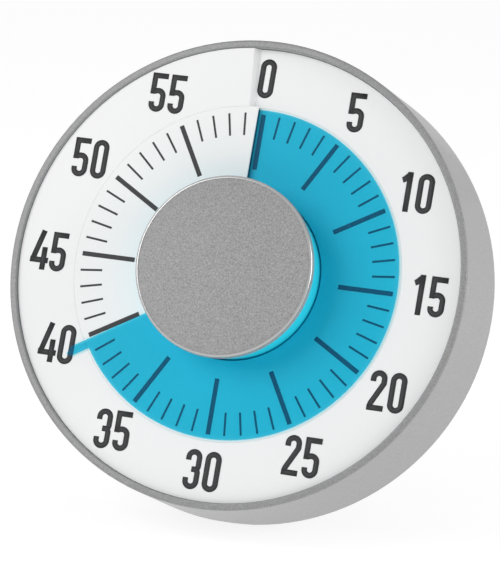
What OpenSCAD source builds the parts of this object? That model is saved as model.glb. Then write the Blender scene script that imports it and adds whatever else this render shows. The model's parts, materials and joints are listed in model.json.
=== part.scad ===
// Wind-up kitchen timer: a round silver case, a white sixty-minute dial, a blue
// film that comes out of a slit in the dial to show the time left, and a knob.
//
// Construction axes: X to the right, Y up the dial and Z out of the dial towards
// the user, from a point on the knob's axis at the dial's lowest level.
// stand_up() then leans the timer back on its rear edge and its fold-out leg.
// Dial angles run clockwise from the zero mark, as the user sees them.

/* [Case] */
// Outer radius of the case at its front lip
case_r = 80.1; // [66:0.1:100]
// How much wider the case is at its rear edge
case_flare = 1.2; // [0:0.1:3]
// Depth of the case behind the dial
case_depth = 37; // [36:0.5:50]
// Height of the front lip over the dial's lowest level
lip_h = 3; // [2.6:0.1:5]
// Width of the front lip
lip_w = 2.5; // [2:0.1:4]
// Rounding of the lip's outer edge
lip_round = 0.8; // [0.4:0.1:1]
// Step from the lip's inner face to the wall behind it
wall_step = 0.6; // [0:0.1:2]
// Rounding of the rear edge
rear_round = 3; // [2:0.1:3]
// Width of the inner ledge that carries the dial
ledge_w = 12; // [9:0.5:14]
// Thickness of that ledge
ledge_t = 2; // [1.5:0.1:3]
// Depth of the flat that the case rests on
base_flat = 0.8; // [0.4:0.1:1.2]
// Angle that the dial leans back
lean = 20; // [14:1:24]

/* [Rear cover] */
// Thickness of the rear cover
cover_t = 2; // [1.5:0.1:3]
// Cover left outside each screw's head
head_edge = 0.6; // [0.4:0.1:1]
// Radius of the cover screws' shanks
cover_screw_r = 1.4; // [1:0.1:1.8]
// Radius of each magnet
magnet_r = 7; // [5:0.5:9]
// Thickness of each magnet
magnet_t = 1.6; // [1:0.1:2.5]
// Radius of the round end of the hanging hole
hang_r = 4.2; // [3:0.1:5]
// Half width of the hanging hole's slot
hang_slot_r = 2.1; // [1.5:0.1:2.4]

/* [Dial] */
// Outer radius of the tick disc
disc_r = 57.2; // [57.1:0.1:60]
// Thickness of the tick disc
disc_t = 0.8; // [0.5:0.1:1.2]
// Rise of the dial over one full turn
dial_rise = 2.4; // [2:0.1:3]
// Distance of the slit from the zero mark
slit_offset = 1.54; // [1:0.01:2.5]
// Angle at which the number ring's ramp starts, before the zero mark
ramp_start = 4.9; // [4.5:0.1:8]
// Angle at which the ramp ends, before the zero mark
ramp_end = 3.5; // [3.4:0.1:4]

/* [Film] */
// Outer radius of the film
film_r = 56.5; // [48:0.1:56.6]
// Thickness of the film
film_t = 0.3; // [0.2:0.05:0.4]
// Height of the film over the dial
film_gap = 0.5; // [0.4:0.05:0.6]
// Minutes shown
minutes_set = 40; // [40:1:40]
// Reach of the pointer tab from the axis
tab_reach = 64.4; // [60:0.1:70]
// Width of the pointer tab
tab_w = 3; // [2:0.1:3.2]

/* [Knob] */
// Radius of the knob's cap
knob_r = 30.7; // [24:0.1:34]
// Height of the knob's face over the dial
knob_h = 16; // [14:0.1:18]
// Depth of the cap's skirt
cap_skirt = 3; // [2:0.1:4]
// Bevel round the cap's face
cap_bevel = 0.9; // [0.3:0.1:1.2]
// How far the cap overhangs the drum
cap_overhang = 1.6; // [1:0.1:2]
// Wall thickness of the drum
drum_wall = 1.8; // [1.2:0.1:3]
// Radius of the main arbor
arbor_r = 3; // [2.4:0.1:3.6]

/* [Movement] */
// Radius of the movement's plates
plate_r = 46; // [46:0.5:50]
// Thickness of the plates
plate_t = 1.2; // [1:0.1:1.6]
// Distance between the plates
plate_gap = 16.4; // [16.4:0.1:18]
// Radius of the pillars
pillar_r = 2.5; // [2:0.1:3]
// Radius of the small arbors
pivot_r = 1; // [0.8:0.05:1.2]
// Teeth of the great wheel
great_teeth = 60; // [60:1:60]
// Teeth of the second wheel
second_teeth = 50; // [50:1:50]
// Teeth of the third wheel
third_teeth = 40; // [40:1:40]
// Leaves of each pinion
pinion_leaves = 10; // [10:1:10]
// Tooth size of the great wheel
great_module = 0.7; // [0.65:0.05:0.7]
// Tooth size of the second wheel
second_module = 0.6; // [0.55:0.05:0.6]
// Tooth size of the third wheel
third_module = 0.5; // [0.45:0.05:0.5]
// Radius of the escape wheel
escape_r = 7; // [6:0.1:7]
// Radius of the balance wheel
balance_r = 9; // [8:0.1:10]

/* [Alarm] */
// Radius of the bell's rim
bell_r = 15; // [12:0.1:16]
// Height of the bell
bell_h = 5.5; // [4.5:0.1:6]
// Wall thickness of the bell
bell_t = 0.9; // [0.6:0.1:1.2]

/* [Stand] */
// Height of the leg's hinge over the knob's axis
hinge_up = 20; // [10:1:30]
// Angle that the leg opens
leg_open = 30; // [26:1:34]
// Width of the leg
leg_w = 44; // [30:1:46]
// Thickness of the leg
leg_t = 4; // [3:0.1:5]
// Radius of the hinge pin
pin_r = 1.2; // [1:0.1:1.5]
// Thickness of the leg's rubber foot
foot_t = 2; // [1.5:0.1:3]

/* [Hidden] */
$fn = 96;

tight = 0.02;        // radial clearance of a piece pressed on a shaft or a screw in its thread
running = 0.05;      // radial clearance of a pivot or a shaft
seat = 0.1;          // clearance between two pieces that fit together
clear = 0.3;         // clearance between pieces that move past each other
overcut = 1;         // how far a cut runs past the face that it opens
small_fn = 48;       // facets of small round details before they become true arcs

silver = [0.73, 0.73, 0.73];
white = [0.96, 0.96, 0.95];
black = [0.12, 0.12, 0.12];
blue = [0.13, 0.68, 0.79];
drum_blue = [0.10, 0.56, 0.70];
steel = [0.66, 0.67, 0.69];
brass = [0.80, 0.65, 0.32];
spring_steel = [0.35, 0.40, 0.50];

// Case levels along Z
rear_r = case_r + case_flare;
lip_in_r = case_r - lip_w;
bore_r = lip_in_r - wall_step;
film_low = film_gap - dial_rise;
dial_seat = film_low - 0.5;
ledge_back = dial_seat - ledge_t;
ledge_in_r = bore_r - ledge_w;
cover_front = cover_t - case_depth;

// Rear cover
cover_r = bore_r - 2 * seat;
screw_head_t = 1;
cover_head_r = cover_screw_r + 1.4;
post_bite = 0.4;
post_ring_r = cover_r - head_edge - cover_head_r;
post_r = bore_r + post_bite - post_ring_r;
post_angles = [45, 135, 225, 315];
cover_screw_len = 9;
magnet_wall = 1;
magnet_low = [34, -44];
magnet_high = [-40, 30];
hang_up = 60;

// Dial: the ring's inner ledge carries the disc
ring_in_r = disc_r + 0.05;
ring_out_r = lip_in_r - 0.15;
drum_r = knob_r - cap_overhang;
disc_in_r = drum_r + 2 * clear;
ring_low_r = film_r + 0.35;

// Film: leading_edge is the angle of its front edge
film_in_r = drum_r + clear;
minute_angle = 6;
edge_offset = 1.3;
leading_edge = minutes_set * minute_angle - edge_offset;
film_span = 357;

// Knob
cap_t = 1.4;
drum_low = ledge_back + 0.7;
drum_top = knob_h - cap_skirt;
web_low = 2.4;
web_t = 2;
hub_r = arbor_r + 2.5;
hub_top = web_low + web_t + 3;
knob_screw_r = 1.1;
knob_screw_ring = 16;
cap_post_r = 2.6;

// Movement: depths are counted backwards from the front plate's rear face
carrier_t = 2;
carrier_r = ledge_in_r + 4;
carrier_back = ledge_back - carrier_t;
boss_t = 1.5;
boss_r = 4;
works_z = carrier_back - boss_t - plate_t;
pillar_ring_r = 42;
pillar_angles = [45, 135, 240, 315];
pillar_screw_r = 1.1;
pillar_screw_len = 4;
screw_head_r = 2.2;
wheel_t = 1;
bush_r = arbor_r + 1.6;
great_depth = 1.2;
great_t = 1.5;
ratchet_depth = 3.1;
ratchet_r = 7.5;
ratchet_teeth = 16;
second_depth = 4.9;
spring_depth = 7.2;
spring_width = 8;
third_depth = 8;
escape_depth = 11.5;
balance_depth = 7.5;
hairspring_depth = 4.6;

// Arbor places: distances follow the tooth counts and sizes
great_r = great_teeth * great_module / 2;
second_r = second_teeth * second_module / 2;
third_r = third_teeth * third_module / 2;
great_pinion_r = pinion_leaves * great_module / 2;
second_pinion_r = pinion_leaves * second_module / 2;
third_pinion_r = pinion_leaves * third_module / 2;
second_dir = 120;
third_dir = 200;
escape_dir = 265;
pallet_dir = 275;
balance_dir = 275;
second_at = clock(great_r + great_pinion_r, second_dir);
third_at = second_at + clock(second_r + second_pinion_r, third_dir);
escape_at = third_at + clock(third_r + third_pinion_r, escape_dir);
pallet_at = escape_at + clock(escape_r + 2.6, pallet_dir);
balance_at = pallet_at + clock(balance_r + 3, balance_dir);
half_leaf = 180 / pinion_leaves;
click_ring_r = 14;
click_angle = 300;
click_pin_r = 0.8;
click_t = 1.2;
click_at = clock(click_ring_r, click_angle);

// Alarm, behind the rear plate
rear_face = works_z - plate_gap - plate_t;
alarm_z = rear_face - 0.8;
cam_r = 6;
cam_t = 1.2;
bell_at = [40, 30];
bell_top = alarm_z - 0.4;
bell_post_r = 1.9;
hammer_at = [18, 12];
hammer_head_r = 2.2;
hammer_pin_r = 1.2;
hammer_head_at = bell_at + clock(bell_r + hammer_head_r + 0.8, 262);

// Stand: the base point is where the leaning case meets the table
base_u = -(rear_r - rear_round) - (rear_round - base_flat) * cos(lean);
base_w = -(case_depth - rear_round) - (rear_round - base_flat) * sin(lean);
base_y = base_u * sin(lean) - base_w * cos(lean);
base_z = base_u * cos(lean) + base_w * sin(lean);
leg_back_gap = 0.4;
hinge_w = -case_depth - leg_back_gap - leg_t / 2;
hinge_h = (hinge_up - base_u) * cos(lean) + (hinge_w - base_w) * sin(lean);
leg_len = hinge_h / cos(leg_open - lean);
heel = (leg_back_gap + leg_t / 2 - leg_t / 2 * cos(leg_open) - seat) / sin(leg_open);
ear_w = 5;
ear_r = pin_r + 1.8;
knuckle_w = leg_w - 2 * ear_w;
foot_y = (hinge_up - base_u) * sin(lean) - (hinge_w - base_w) * cos(lean)
    + leg_len * sin(leg_open - lean);
foot_d = leg_t - 0.6;

// A point at radius r and clockwise angle a
function clock(r, a) = [r * sin(a), r * cos(a)];
// Points on an arc round c, from angle a0 to a1 by the usual sense
function arc(c, r, a0, a1, n = 8) = [
    for (i = [0:n]) c + r * [cos(a0 + (a1 - a0) * i / n), sin(a0 + (a1 - a0) * i / n)]
];
// Height of the dial at clockwise angle a
function dial_z(a) = dial_rise * a / 360;
// Height of the number ring, which ramps down just before the zero mark
function ring_z(a) = a <= 360 - ramp_start
    ? dial_z(a)
    : dial_z(360 - ramp_start)
        + (dial_z(-ramp_end) - dial_z(360 - ramp_start)) * (a - 360 + ramp_start)
        / (ramp_start - ramp_end);
// Points of a flat spiral band between radii r0 and r1
function spiral(r0, r1, turns, thick, steps = 30) = let (n = turns * steps) concat(
    [for (i = [0:n]) clock(r0 + (r1 - r0) * i / n, i * 360 / steps)],
    [for (i = [n:-1:0]) clock(r0 + (r1 - r0) * i / n + thick, i * 360 / steps)]
);
// One tooth, centred on angle a: root, flank and tip points
function tooth(a, pitch, radii, widths) = concat(
    [for (i = [0:2]) clock(radii[i], a - pitch * widths[i] / 2)],
    [for (i = [2:-1:0]) clock(radii[i], a + pitch * widths[i] / 2)]
);

// Leans the timer back and puts its base point at the origin
module stand_up() {
    translate([0, -base_y, -base_z]) rotate([90 - lean, 0, 0]) children();
}
// Moves a child to a clockwise angle on a ring
module on_ring(r, a) {
    translate([r * sin(a), r * cos(a), 0]) children();
}
// Closed or open skin through equal rings of points
module skin(rings, closed = false) {
    n = len(rings);
    m = len(rings[0]);
    spans = closed ? n : n - 1;
    sides = [
        for (i = [0:spans - 1], j = [0:m - 1], k = [0, 1])
            let (a = i * m, b = ((i + 1) % n) * m, q = (j + 1) % m)
            k == 0 ? [a + j, b + j, b + q] : [a + j, b + q, a + q]
    ];
    caps = closed ? [] : [[for (j = [0:m - 1]) j], [for (j = [m - 1:-1:0]) (n - 1) * m + j]];
    polyhedron(points = [for (r = rings) each r], faces = concat(sides, caps));
}
// Screw with a slotted head; its head sits on Z = 0 and its shank runs down
module screw(shank_r, len, head_r, head_t) {
    difference() {
        union() {
            cylinder(r = head_r, h = head_t, $fn = small_fn);
            translate([0, 0, -len]) cylinder(r = shank_r, h = len + head_t / 2, $fn = small_fn);
        }
        translate([-head_r - overcut, -head_r / 8, head_t / 2])
            cube([2 * (head_r + overcut), head_r / 4, head_t]);
    }
}
// The same screw with its head to the rear
module rear_screw(shank_r, len, head_r, head_t) {
    mirror([0, 0, 1]) screw(shank_r, len, head_r, head_t);
}
// Wheel outline: tapered teeth on a rim
module wheel_outline(teeth, size) {
    r = teeth * size / 2;
    pitch = 360 / teeth;
    polygon([for (i = [0:teeth - 1])
        each tooth(i * pitch, pitch, [r - 1.3 * size, r, r + 0.9 * size], [0.50, 0.40, 0.14])]);
}
// Pinion outline: fewer and slimmer leaves
module pinion_outline(size) {
    r = pinion_leaves * size / 2;
    pitch = 360 / pinion_leaves;
    polygon([for (i = [0:pinion_leaves - 1])
        each tooth(i * pitch, pitch, [r - 1.25 * size, r, r + 0.75 * size], [0.30, 0.34, 0.18])]);
}
// Spoked wheel of the train, with its first tooth at clockwise angle a
module train_wheel(teeth, size, thick, bore, a) {
    r = teeth * size / 2;
    rim = r - 1.3 * size - 1.6;
    hub = bore + 2;
    rotate([0, 0, -a]) translate([0, 0, -thick]) linear_extrude(thick) difference() {
        wheel_outline(teeth, size);
        circle(r = bore, $fn = small_fn);
        difference() {
            circle(r = rim, $fn = small_fn);
            circle(r = hub, $fn = small_fn);
            for (i = [0:3]) rotate([0, 0, i * 90]) translate([0, -0.9]) square([r, 1.8]);
        }
    }
}
// Arbor with a pinion on it: depths of the pinion, and the angle of one gap
module pinioned_arbor(size, depth, len, a) {
    translate([0, 0, -plate_gap - plate_t + clear])
        cylinder(r = pivot_r, h = plate_gap + 2 * (plate_t - clear), $fn = small_fn);
    translate([0, 0, -depth - len])
        rotate([0, 0, -a - half_leaf]) linear_extrude(len) pinion_outline(size);
}
module plain_arbor() {
    translate([0, 0, -plate_gap - plate_t + clear])
        cylinder(r = pivot_r, h = plate_gap + 2 * (plate_t - clear), $fn = small_fn);
}
// Moves a child to an arbor's place at the front plate's rear face
module at_works(place) {
    translate([place[0], place[1], works_z]) children();
}
// Plate outline with its arbor holes
module works_plate() {
    difference() {
        circle(r = plate_r);
        circle(r = bush_r + tight, $fn = small_fn);
        for (p = [second_at, third_at, escape_at, pallet_at, balance_at])
            translate(p) circle(r = pivot_r + running, $fn = small_fn);
        for (a = pillar_angles)
            translate(clock(pillar_ring_r, a)) circle(r = pillar_screw_r + seat, $fn = small_fn);
    }
}

module case_ring() {
    inner_round = 0.5;
    profile = concat(
        [[lip_in_r, dial_seat]],
        arc([lip_in_r + inner_round, lip_h - inner_round], inner_round, 180, 90, 4),
        arc([case_r - lip_round, lip_h - lip_round], lip_round, 90, 0, 5),
        arc([rear_r - rear_round, rear_round - case_depth], rear_round, 0, -90),
        [[bore_r, -case_depth], [bore_r, ledge_back], [ledge_in_r, ledge_back],
            [ledge_in_r, dial_seat]]
    );
    color(silver) stand_up() difference() {
        union() {
            rotate_extrude($fn = 180) polygon(profile);
            for (a = post_angles) on_ring(post_ring_r, a) translate([0, 0, cover_front])
                cylinder(r = post_r, h = ledge_back - cover_front + ledge_t / 2);
        }
        for (a = post_angles) on_ring(post_ring_r, a) translate([0, 0, cover_front - overcut])
            cylinder(r = cover_screw_r + tight, h = cover_screw_len + 3, $fn = small_fn);
        for (i = [0:3]) on_ring(ledge_in_r + 2, i * 90) translate([0, 0, ledge_back - overcut])
            cylinder(r = pillar_screw_r + tight, h = overcut + 1.4, $fn = small_fn);
        translate([0, base_u, base_w]) rotate([lean - 90, 0, 0])
            translate([-case_r / 2, -rear_round * 3, -rear_round * 2])
            cube([case_r, rear_round * 6, rear_round * 2]);
    }
}

module rear_cover() {
    edge = 0.4;
    color(silver) stand_up() difference() {
        union() {
            translate([0, 0, -case_depth]) rotate_extrude($fn = 180) polygon([
                [0, 0], [cover_r - edge, 0], [cover_r, edge], [cover_r, cover_t], [0, cover_t],
            ]);
            for (p = magnet_places()) translate([p[0], p[1], cover_front - magnet_wall])
                cylinder(r = magnet_r + magnet_wall, h = magnet_t + magnet_wall, $fn = small_fn);
            for (s = [-1, 1]) translate([s * (knuckle_w + ear_w) / 2 + s * clear, 0, 0]) {
                translate([-ear_w / 2, hinge_up, hinge_w]) rotate([0, 90, 0])
                    cylinder(r = ear_r, h = ear_w, $fn = small_fn);
                translate([-ear_w / 2, hinge_up - ear_r, hinge_w])
                    cube([ear_w, 2 * ear_r, cover_front - hinge_w - cover_t / 2]);
            }
        }
        for (a = post_angles) on_ring(post_ring_r, a) {
            translate([0, 0, -case_depth - overcut])
                cylinder(r = cover_screw_r + seat, h = cover_t + 2 * overcut, $fn = small_fn);
            translate([0, 0, -case_depth - overcut])
                cylinder(r = cover_head_r + seat, h = screw_head_t + overcut, $fn = small_fn);
        }
        for (p = magnet_places()) translate([p[0], p[1], -case_depth - overcut])
            cylinder(r = magnet_r + tight, h = magnet_t + overcut, $fn = small_fn);
        translate([0, hang_up, -case_depth - overcut]) {
            cylinder(r = hang_r, h = cover_t + 2 * overcut);
            translate([0, hang_r + hang_slot_r * 1.5, 0])
                cylinder(r = hang_slot_r, h = cover_t + 2 * overcut, $fn = small_fn);
            translate([-hang_slot_r, 0, 0])
                cube([2 * hang_slot_r, hang_r + hang_slot_r * 1.5, cover_t + 2 * overcut]);
        }
        for (ring = [0:2], i = [0:max(0, ring * 6 - 1)])
            translate([bell_at[0], bell_at[1], -case_depth - overcut])
            on_ring(ring * 3.6, i * 60 / max(ring, 1))
            cylinder(r = 0.9, h = cover_t + 2 * overcut, $fn = small_fn);
        translate([-leg_w, hinge_up, hinge_w]) rotate([0, 90, 0])
            cylinder(r = pin_r + tight, h = 2 * leg_w, $fn = small_fn);
    }
}
function magnet_places() = [magnet_low, [-magnet_low[0], magnet_low[1]], magnet_high];

module cover_screws() {
    color(steel) stand_up() for (a = post_angles)
        on_ring(post_ring_r, a) translate([0, 0, -case_depth + screw_head_t])
        rear_screw(cover_screw_r, cover_screw_len, cover_head_r, screw_head_t - 0.2);
}

module magnets() {
    color(black) stand_up() for (p = magnet_places()) translate([p[0], p[1], -case_depth + 0.1])
        cylinder(r = magnet_r, h = magnet_t - 0.1, $fn = small_fn);
}

module number_ring() {
    steps = 118;
    angles = [for (i = [0:steps]) -ramp_end + (360 - ramp_start + ramp_end) * i / steps];
    rings = [for (a = angles) let (z = ring_z(a), low = z - disc_t - 0.05)
        [for (p = [[ring_low_r, dial_seat], [ring_low_r, low], [ring_in_r, low], [ring_in_r, z],
            [ring_out_r, z], [ring_out_r, dial_seat]])
            [p[0] * sin(a), p[0] * cos(a), p[1]]]];
    color(white) stand_up() skin(rings, closed = true);
}

module tick_disc() {
    // The slit's two edges run parallel to the zero mark
    angles = [for (i = [0:120]) i / 120];
    rings = [for (t = angles) [for (p = [[disc_in_r, -disc_t], [disc_in_r, 0], [disc_r, 0],
        [disc_r, -disc_t]])
        let (a = 360 * t - asin(slit_offset / p[0]))
        [p[0] * sin(a), p[0] * cos(a), dial_z(a) + p[1]]]];
    color(white) stand_up() skin(rings);
}

module film() {
    // A plain band as far as the tab, then three rings that take in the tab's tip
    steps = 118;
    tip_slant = 1.2;
    tab_angle = asin(tab_w / film_r);
    tab_from = leading_edge - tab_angle;
    band_from = leading_edge - film_span;
    band = [for (i = [0:steps])
        let (a = band_from + (tab_from - band_from) * i / steps) film_ring(a, clock(film_r, a))];
    tip = [
        film_ring(tab_from + 0.1, tab_point(tab_w, tab_reach - tip_slant)),
        film_ring(leading_edge - tab_angle / 2, tab_point(tab_w * 0.6, tab_reach)),
        film_ring(leading_edge, tab_point(0, tab_reach - 2 * tip_slant)),
    ];
    color(blue) stand_up() skin(concat(band, tip));
}

// One cross-section of the film at angle a, out to the point p
function film_ring(a, p) = let (q = clock(film_in_r, a), z = film_gap + dial_z(a)) [
    [q[0], q[1], z], [q[0], q[1], z + film_t], [p[0], p[1], z + film_t], [p[0], p[1], z],
];
// A point behind the film's leading edge, back from it and out from the axis
function tab_point(back, out) = clock(out, leading_edge)
    + back * [-cos(leading_edge), sin(leading_edge)];

module movement_carrier() {
    color(white) stand_up() difference() {
        union() {
            translate([0, 0, carrier_back]) cylinder(r = carrier_r, h = carrier_t, $fn = 180);
            for (a = pillar_angles) on_ring(pillar_ring_r, a)
                translate([0, 0, carrier_back - boss_t]) cylinder(r = boss_r, h = boss_t + carrier_t / 2);
        }
        translate([0, 0, carrier_back - overcut])
            cylinder(r = arbor_r + 3, h = carrier_t + 2 * overcut, $fn = small_fn);
        for (a = pillar_angles) on_ring(pillar_ring_r, a)
            translate([0, 0, carrier_back - boss_t - overcut])
            cylinder(r = pillar_screw_r + seat, h = boss_t + carrier_t + 2 * overcut, $fn = small_fn);
        for (i = [0:3]) on_ring(ledge_in_r + 2, i * 90) translate([0, 0, carrier_back - overcut])
            cylinder(r = pillar_screw_r + seat, h = carrier_t + 2 * overcut, $fn = small_fn);
    }
}

module carrier_screws() {
    color(steel) stand_up() for (i = [0:3])
        on_ring(ledge_in_r + 2, i * 90) translate([0, 0, carrier_back])
        rear_screw(pillar_screw_r, carrier_t + 1.2, 1.9, screw_head_t);
}

module front_plate() {
    color(brass) stand_up() translate([0, 0, works_z]) linear_extrude(plate_t) works_plate();
}

module rear_plate() {
    color(brass) stand_up() translate([0, 0, rear_face]) linear_extrude(plate_t) difference() {
        works_plate();
        translate(hammer_at) circle(r = hammer_pin_r + tight, $fn = small_fn);
    }
}

module pillars() {
    color(steel) stand_up() for (a = pillar_angles) on_ring(pillar_ring_r, a)
        translate([0, 0, works_z - plate_gap]) difference() {
            cylinder(r = pillar_r, h = plate_gap, $fn = small_fn);
            translate([0, 0, -overcut])
                cylinder(r = pillar_screw_r + tight, h = pillar_screw_len + overcut, $fn = small_fn);
            translate([0, 0, plate_gap - pillar_screw_len])
                cylinder(r = pillar_screw_r + tight, h = pillar_screw_len + overcut, $fn = small_fn);
        }
}

module movement_screws() {
    reach = carrier_t + boss_t + plate_t + pillar_screw_len - 0.5;
    color(steel) stand_up() for (a = pillar_angles)
        on_ring(pillar_ring_r, a) translate([0, 0, ledge_back])
        screw(pillar_screw_r, reach, screw_head_r, screw_head_t);
}

module plate_screws() {
    color(steel) stand_up() for (a = pillar_angles)
        on_ring(pillar_ring_r, a) translate([0, 0, rear_face])
        rear_screw(pillar_screw_r, plate_t + pillar_screw_len - 0.5, screw_head_r, screw_head_t);
}

module arbor_bushes() {
    color(brass) stand_up() for (z = [works_z - 0.3, rear_face - 0.3]) translate([0, 0, z]) difference() {
        cylinder(r = bush_r, h = plate_t + 0.6, $fn = small_fn);
        translate([0, 0, -overcut])
            cylinder(r = arbor_r + running, h = plate_t + 0.6 + 2 * overcut, $fn = small_fn);
    }
}

module knob_cap() {
    inner_r = drum_r - drum_wall;
    spigot_t = 1.4;
    color(silver) stand_up() union() {
        rotate_extrude($fn = 180) polygon([
            [0, knob_h], [knob_r - cap_bevel, knob_h], [knob_r, knob_h - cap_bevel],
            [knob_r, drum_top], [inner_r - seat, drum_top], [inner_r - seat, drum_top - spigot_t],
            [inner_r - seat - cap_t, drum_top - spigot_t], [inner_r - seat - cap_t, knob_h - cap_t],
            [0, knob_h - cap_t],
        ]);
        for (s = [-1, 1]) translate([s * knob_screw_ring, 0, web_low + web_t]) difference() {
            cylinder(r = cap_post_r, h = knob_h - cap_t / 2 - web_low - web_t, $fn = small_fn);
            translate([0, 0, -overcut])
                cylinder(r = knob_screw_r + tight, h = 5 + overcut, $fn = small_fn);
        }
    }
}

module knob_drum() {
    color(drum_blue) stand_up() difference() {
        rotate_extrude($fn = 180) polygon([
            [arbor_r + tight, drum_low], [hub_r, drum_low], [hub_r, web_low], [drum_r - drum_wall, web_low],
            [drum_r - drum_wall, drum_low], [drum_r, drum_low], [drum_r, drum_top],
            [drum_r - drum_wall, drum_top], [drum_r - drum_wall, web_low + web_t],
            [hub_r, web_low + web_t], [hub_r, hub_top], [arbor_r + tight, hub_top],
        ]);
        for (s = [-1, 1]) translate([s * knob_screw_ring, 0, web_low - overcut])
            cylinder(r = knob_screw_r + seat, h = web_t + 2 * overcut, $fn = small_fn);
    }
}

module knob_screws() {
    color(steel) stand_up() for (s = [-1, 1]) translate([s * knob_screw_ring, 0, web_low])
        rear_screw(knob_screw_r, web_t + 4, 2, screw_head_t);
}

module main_arbor() {
    bottom = alarm_z - cam_t - clear;
    color(steel) stand_up() union() {
        translate([0, 0, bottom]) cylinder(r = arbor_r, h = hub_top - bottom, $fn = small_fn);
        translate([0, 0, works_z - spring_depth - spring_width])
            cylinder(r = arbor_r + 0.8, h = spring_width, $fn = small_fn);
    }
}

module great_wheel() {
    color(brass) stand_up() translate([0, 0, works_z - great_depth]) difference() {
        union() {
            train_wheel(great_teeth, great_module, great_t, arbor_r + tight, second_dir);
            translate([0, 0, -great_t]) cylinder(r = arbor_r + 2.4, h = great_t, $fn = small_fn);
            translate([click_at[0], click_at[1], -great_t]) cylinder(r = 2.4, h = great_t, $fn = small_fn);
            rotate([0, 0, -click_angle]) translate([-1.2, arbor_r + 1, -great_t])
                cube([2.4, great_r - 4 - arbor_r, great_t]);
            translate([click_at[0], click_at[1], -great_t - 1.7])
                cylinder(r = click_pin_r, h = 2.2, $fn = small_fn);
        }
        translate([0, 0, -great_t - overcut])
            cylinder(r = arbor_r + tight, h = great_t + 2 * overcut, $fn = small_fn);
    }
}

module ratchet_wheel() {
    pitch = 360 / ratchet_teeth;
    color(steel) stand_up() translate([0, 0, works_z - ratchet_depth - great_t])
        linear_extrude(great_t) difference() {
            polygon([for (i = [0:ratchet_teeth - 1])
                each [clock(ratchet_r, i * pitch), clock(ratchet_r - 1.2, i * pitch + 1)]]);
            circle(r = arbor_r + tight, $fn = small_fn);
        }
}

module click() {
    nose = clock(ratchet_r + 0.6, click_angle + 34);
    along = (nose - click_at) / norm(nose - click_at);
    across = [-along[1], along[0]] * 1.6;
    color(steel) stand_up() translate([0, 0, works_z - ratchet_depth - click_t]) difference() {
        union() {
            translate([click_at[0], click_at[1], 0]) cylinder(r = 1.9, h = click_t, $fn = small_fn);
            linear_extrude(click_t)
                polygon([click_at + across, nose + across / 4, nose - across / 4, click_at - across]);
        }
        translate([click_at[0], click_at[1], -overcut])
            cylinder(r = click_pin_r + running, h = click_t + 2 * overcut, $fn = small_fn);
    }
}

module click_spring() {
    color(spring_steel) stand_up() translate([0, 0, works_z - ratchet_depth - 0.9])
        linear_extrude(0.5) polygon(concat(
            arc(click_at, 2.3, 60, 200, 10), arc(click_at, 2.7, 200, 60, 10)));
}

module mainspring() {
    color(spring_steel) stand_up() translate([0, 0, works_z - spring_depth - spring_width])
        linear_extrude(spring_width) polygon(spiral(arbor_r + 1.2, 15.8, 8, 0.35));
}

module second_arbor() {
    color(steel) stand_up() at_works(second_at)
        pinioned_arbor(great_module, great_depth - 0.4, great_t + 0.8, second_dir + 180);
}

module second_wheel() {
    color(brass) stand_up() at_works(second_at) translate([0, 0, -second_depth])
        train_wheel(second_teeth, second_module, wheel_t, pivot_r + tight, third_dir);
}

module third_arbor() {
    color(steel) stand_up() at_works(third_at)
        pinioned_arbor(second_module, second_depth - 0.4, wheel_t + 0.8, third_dir + 180);
}

module third_wheel() {
    color(brass) stand_up() at_works(third_at) translate([0, 0, -third_depth])
        train_wheel(third_teeth, third_module, wheel_t, pivot_r + tight, escape_dir);
}

module escape_arbor() {
    color(steel) stand_up() at_works(escape_at)
        pinioned_arbor(third_module, third_depth - 0.4, wheel_t + 0.8, escape_dir + 180);
}

module escape_wheel() {
    teeth = 15;
    pitch = 360 / teeth;
    color(brass) stand_up() at_works(escape_at) translate([0, 0, -escape_depth - wheel_t])
        linear_extrude(wheel_t) difference() {
            polygon([for (i = [0:teeth - 1]) each [
                clock(escape_r - 2, i * pitch - 5), clock(escape_r, i * pitch + 3),
                clock(escape_r, i * pitch + 5), clock(escape_r - 2, i * pitch + 3)]]);
            circle(r = pivot_r + tight, $fn = small_fn);
            for (i = [0:3]) translate(clock(3, i * 90 + 45)) circle(r = 0.9, $fn = small_fn);
        }
}

module pallet_lever() {
    lever_t = wheel_t + 0.2;
    prong_from = balance_r - 2;
    color(steel) stand_up() at_works(pallet_at) translate([0, 0, -escape_depth - wheel_t - 0.1])
        rotate([0, 0, -balance_dir]) difference() {
            union() {
                cylinder(r = 1.8, h = lever_t, $fn = small_fn);
                translate([-0.7, 0, 0]) cube([1.4, balance_r - 1, lever_t]);
                for (x = [-1.1, 0.3]) translate([x, prong_from, 0]) cube([0.8, 2.2, lever_t]);
                linear_extrude(lever_t) polygon([
                    [0, 1.4], [5.2, 0.3], [5.7, -4.0], [4.9, -3.6], [4.4, -1.0], [0, -1.4],
                    [-4.4, -1.0], [-4.9, -3.6], [-5.7, -4.0], [-5.2, 0.3],
                ]);
            }
            translate([0, 0, -overcut])
                cylinder(r = pivot_r + tight, h = lever_t + 2 * overcut, $fn = small_fn);
        }
}

module pallet_arbor() {
    color(steel) stand_up() at_works(pallet_at) plain_arbor();
}

module balance_wheel() {
    rim_w = 1.3;
    color(brass) stand_up() at_works(balance_at) translate([0, 0, -balance_depth - wheel_t])
        linear_extrude(wheel_t) difference() {
            circle(r = balance_r, $fn = small_fn);
            difference() {
                circle(r = balance_r - rim_w, $fn = small_fn);
                circle(r = 2.2, $fn = small_fn);
                translate([-balance_r, -0.8]) square([2 * balance_r, 1.6]);
            }
            circle(r = pivot_r + tight, $fn = small_fn);
        }
}

module balance_staff() {
    color(steel) stand_up() at_works(balance_at) union() {
        plain_arbor();
        translate([0, 0, -escape_depth - wheel_t]) cylinder(r = 1.8, h = wheel_t, $fn = small_fn);
    }
}

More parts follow.
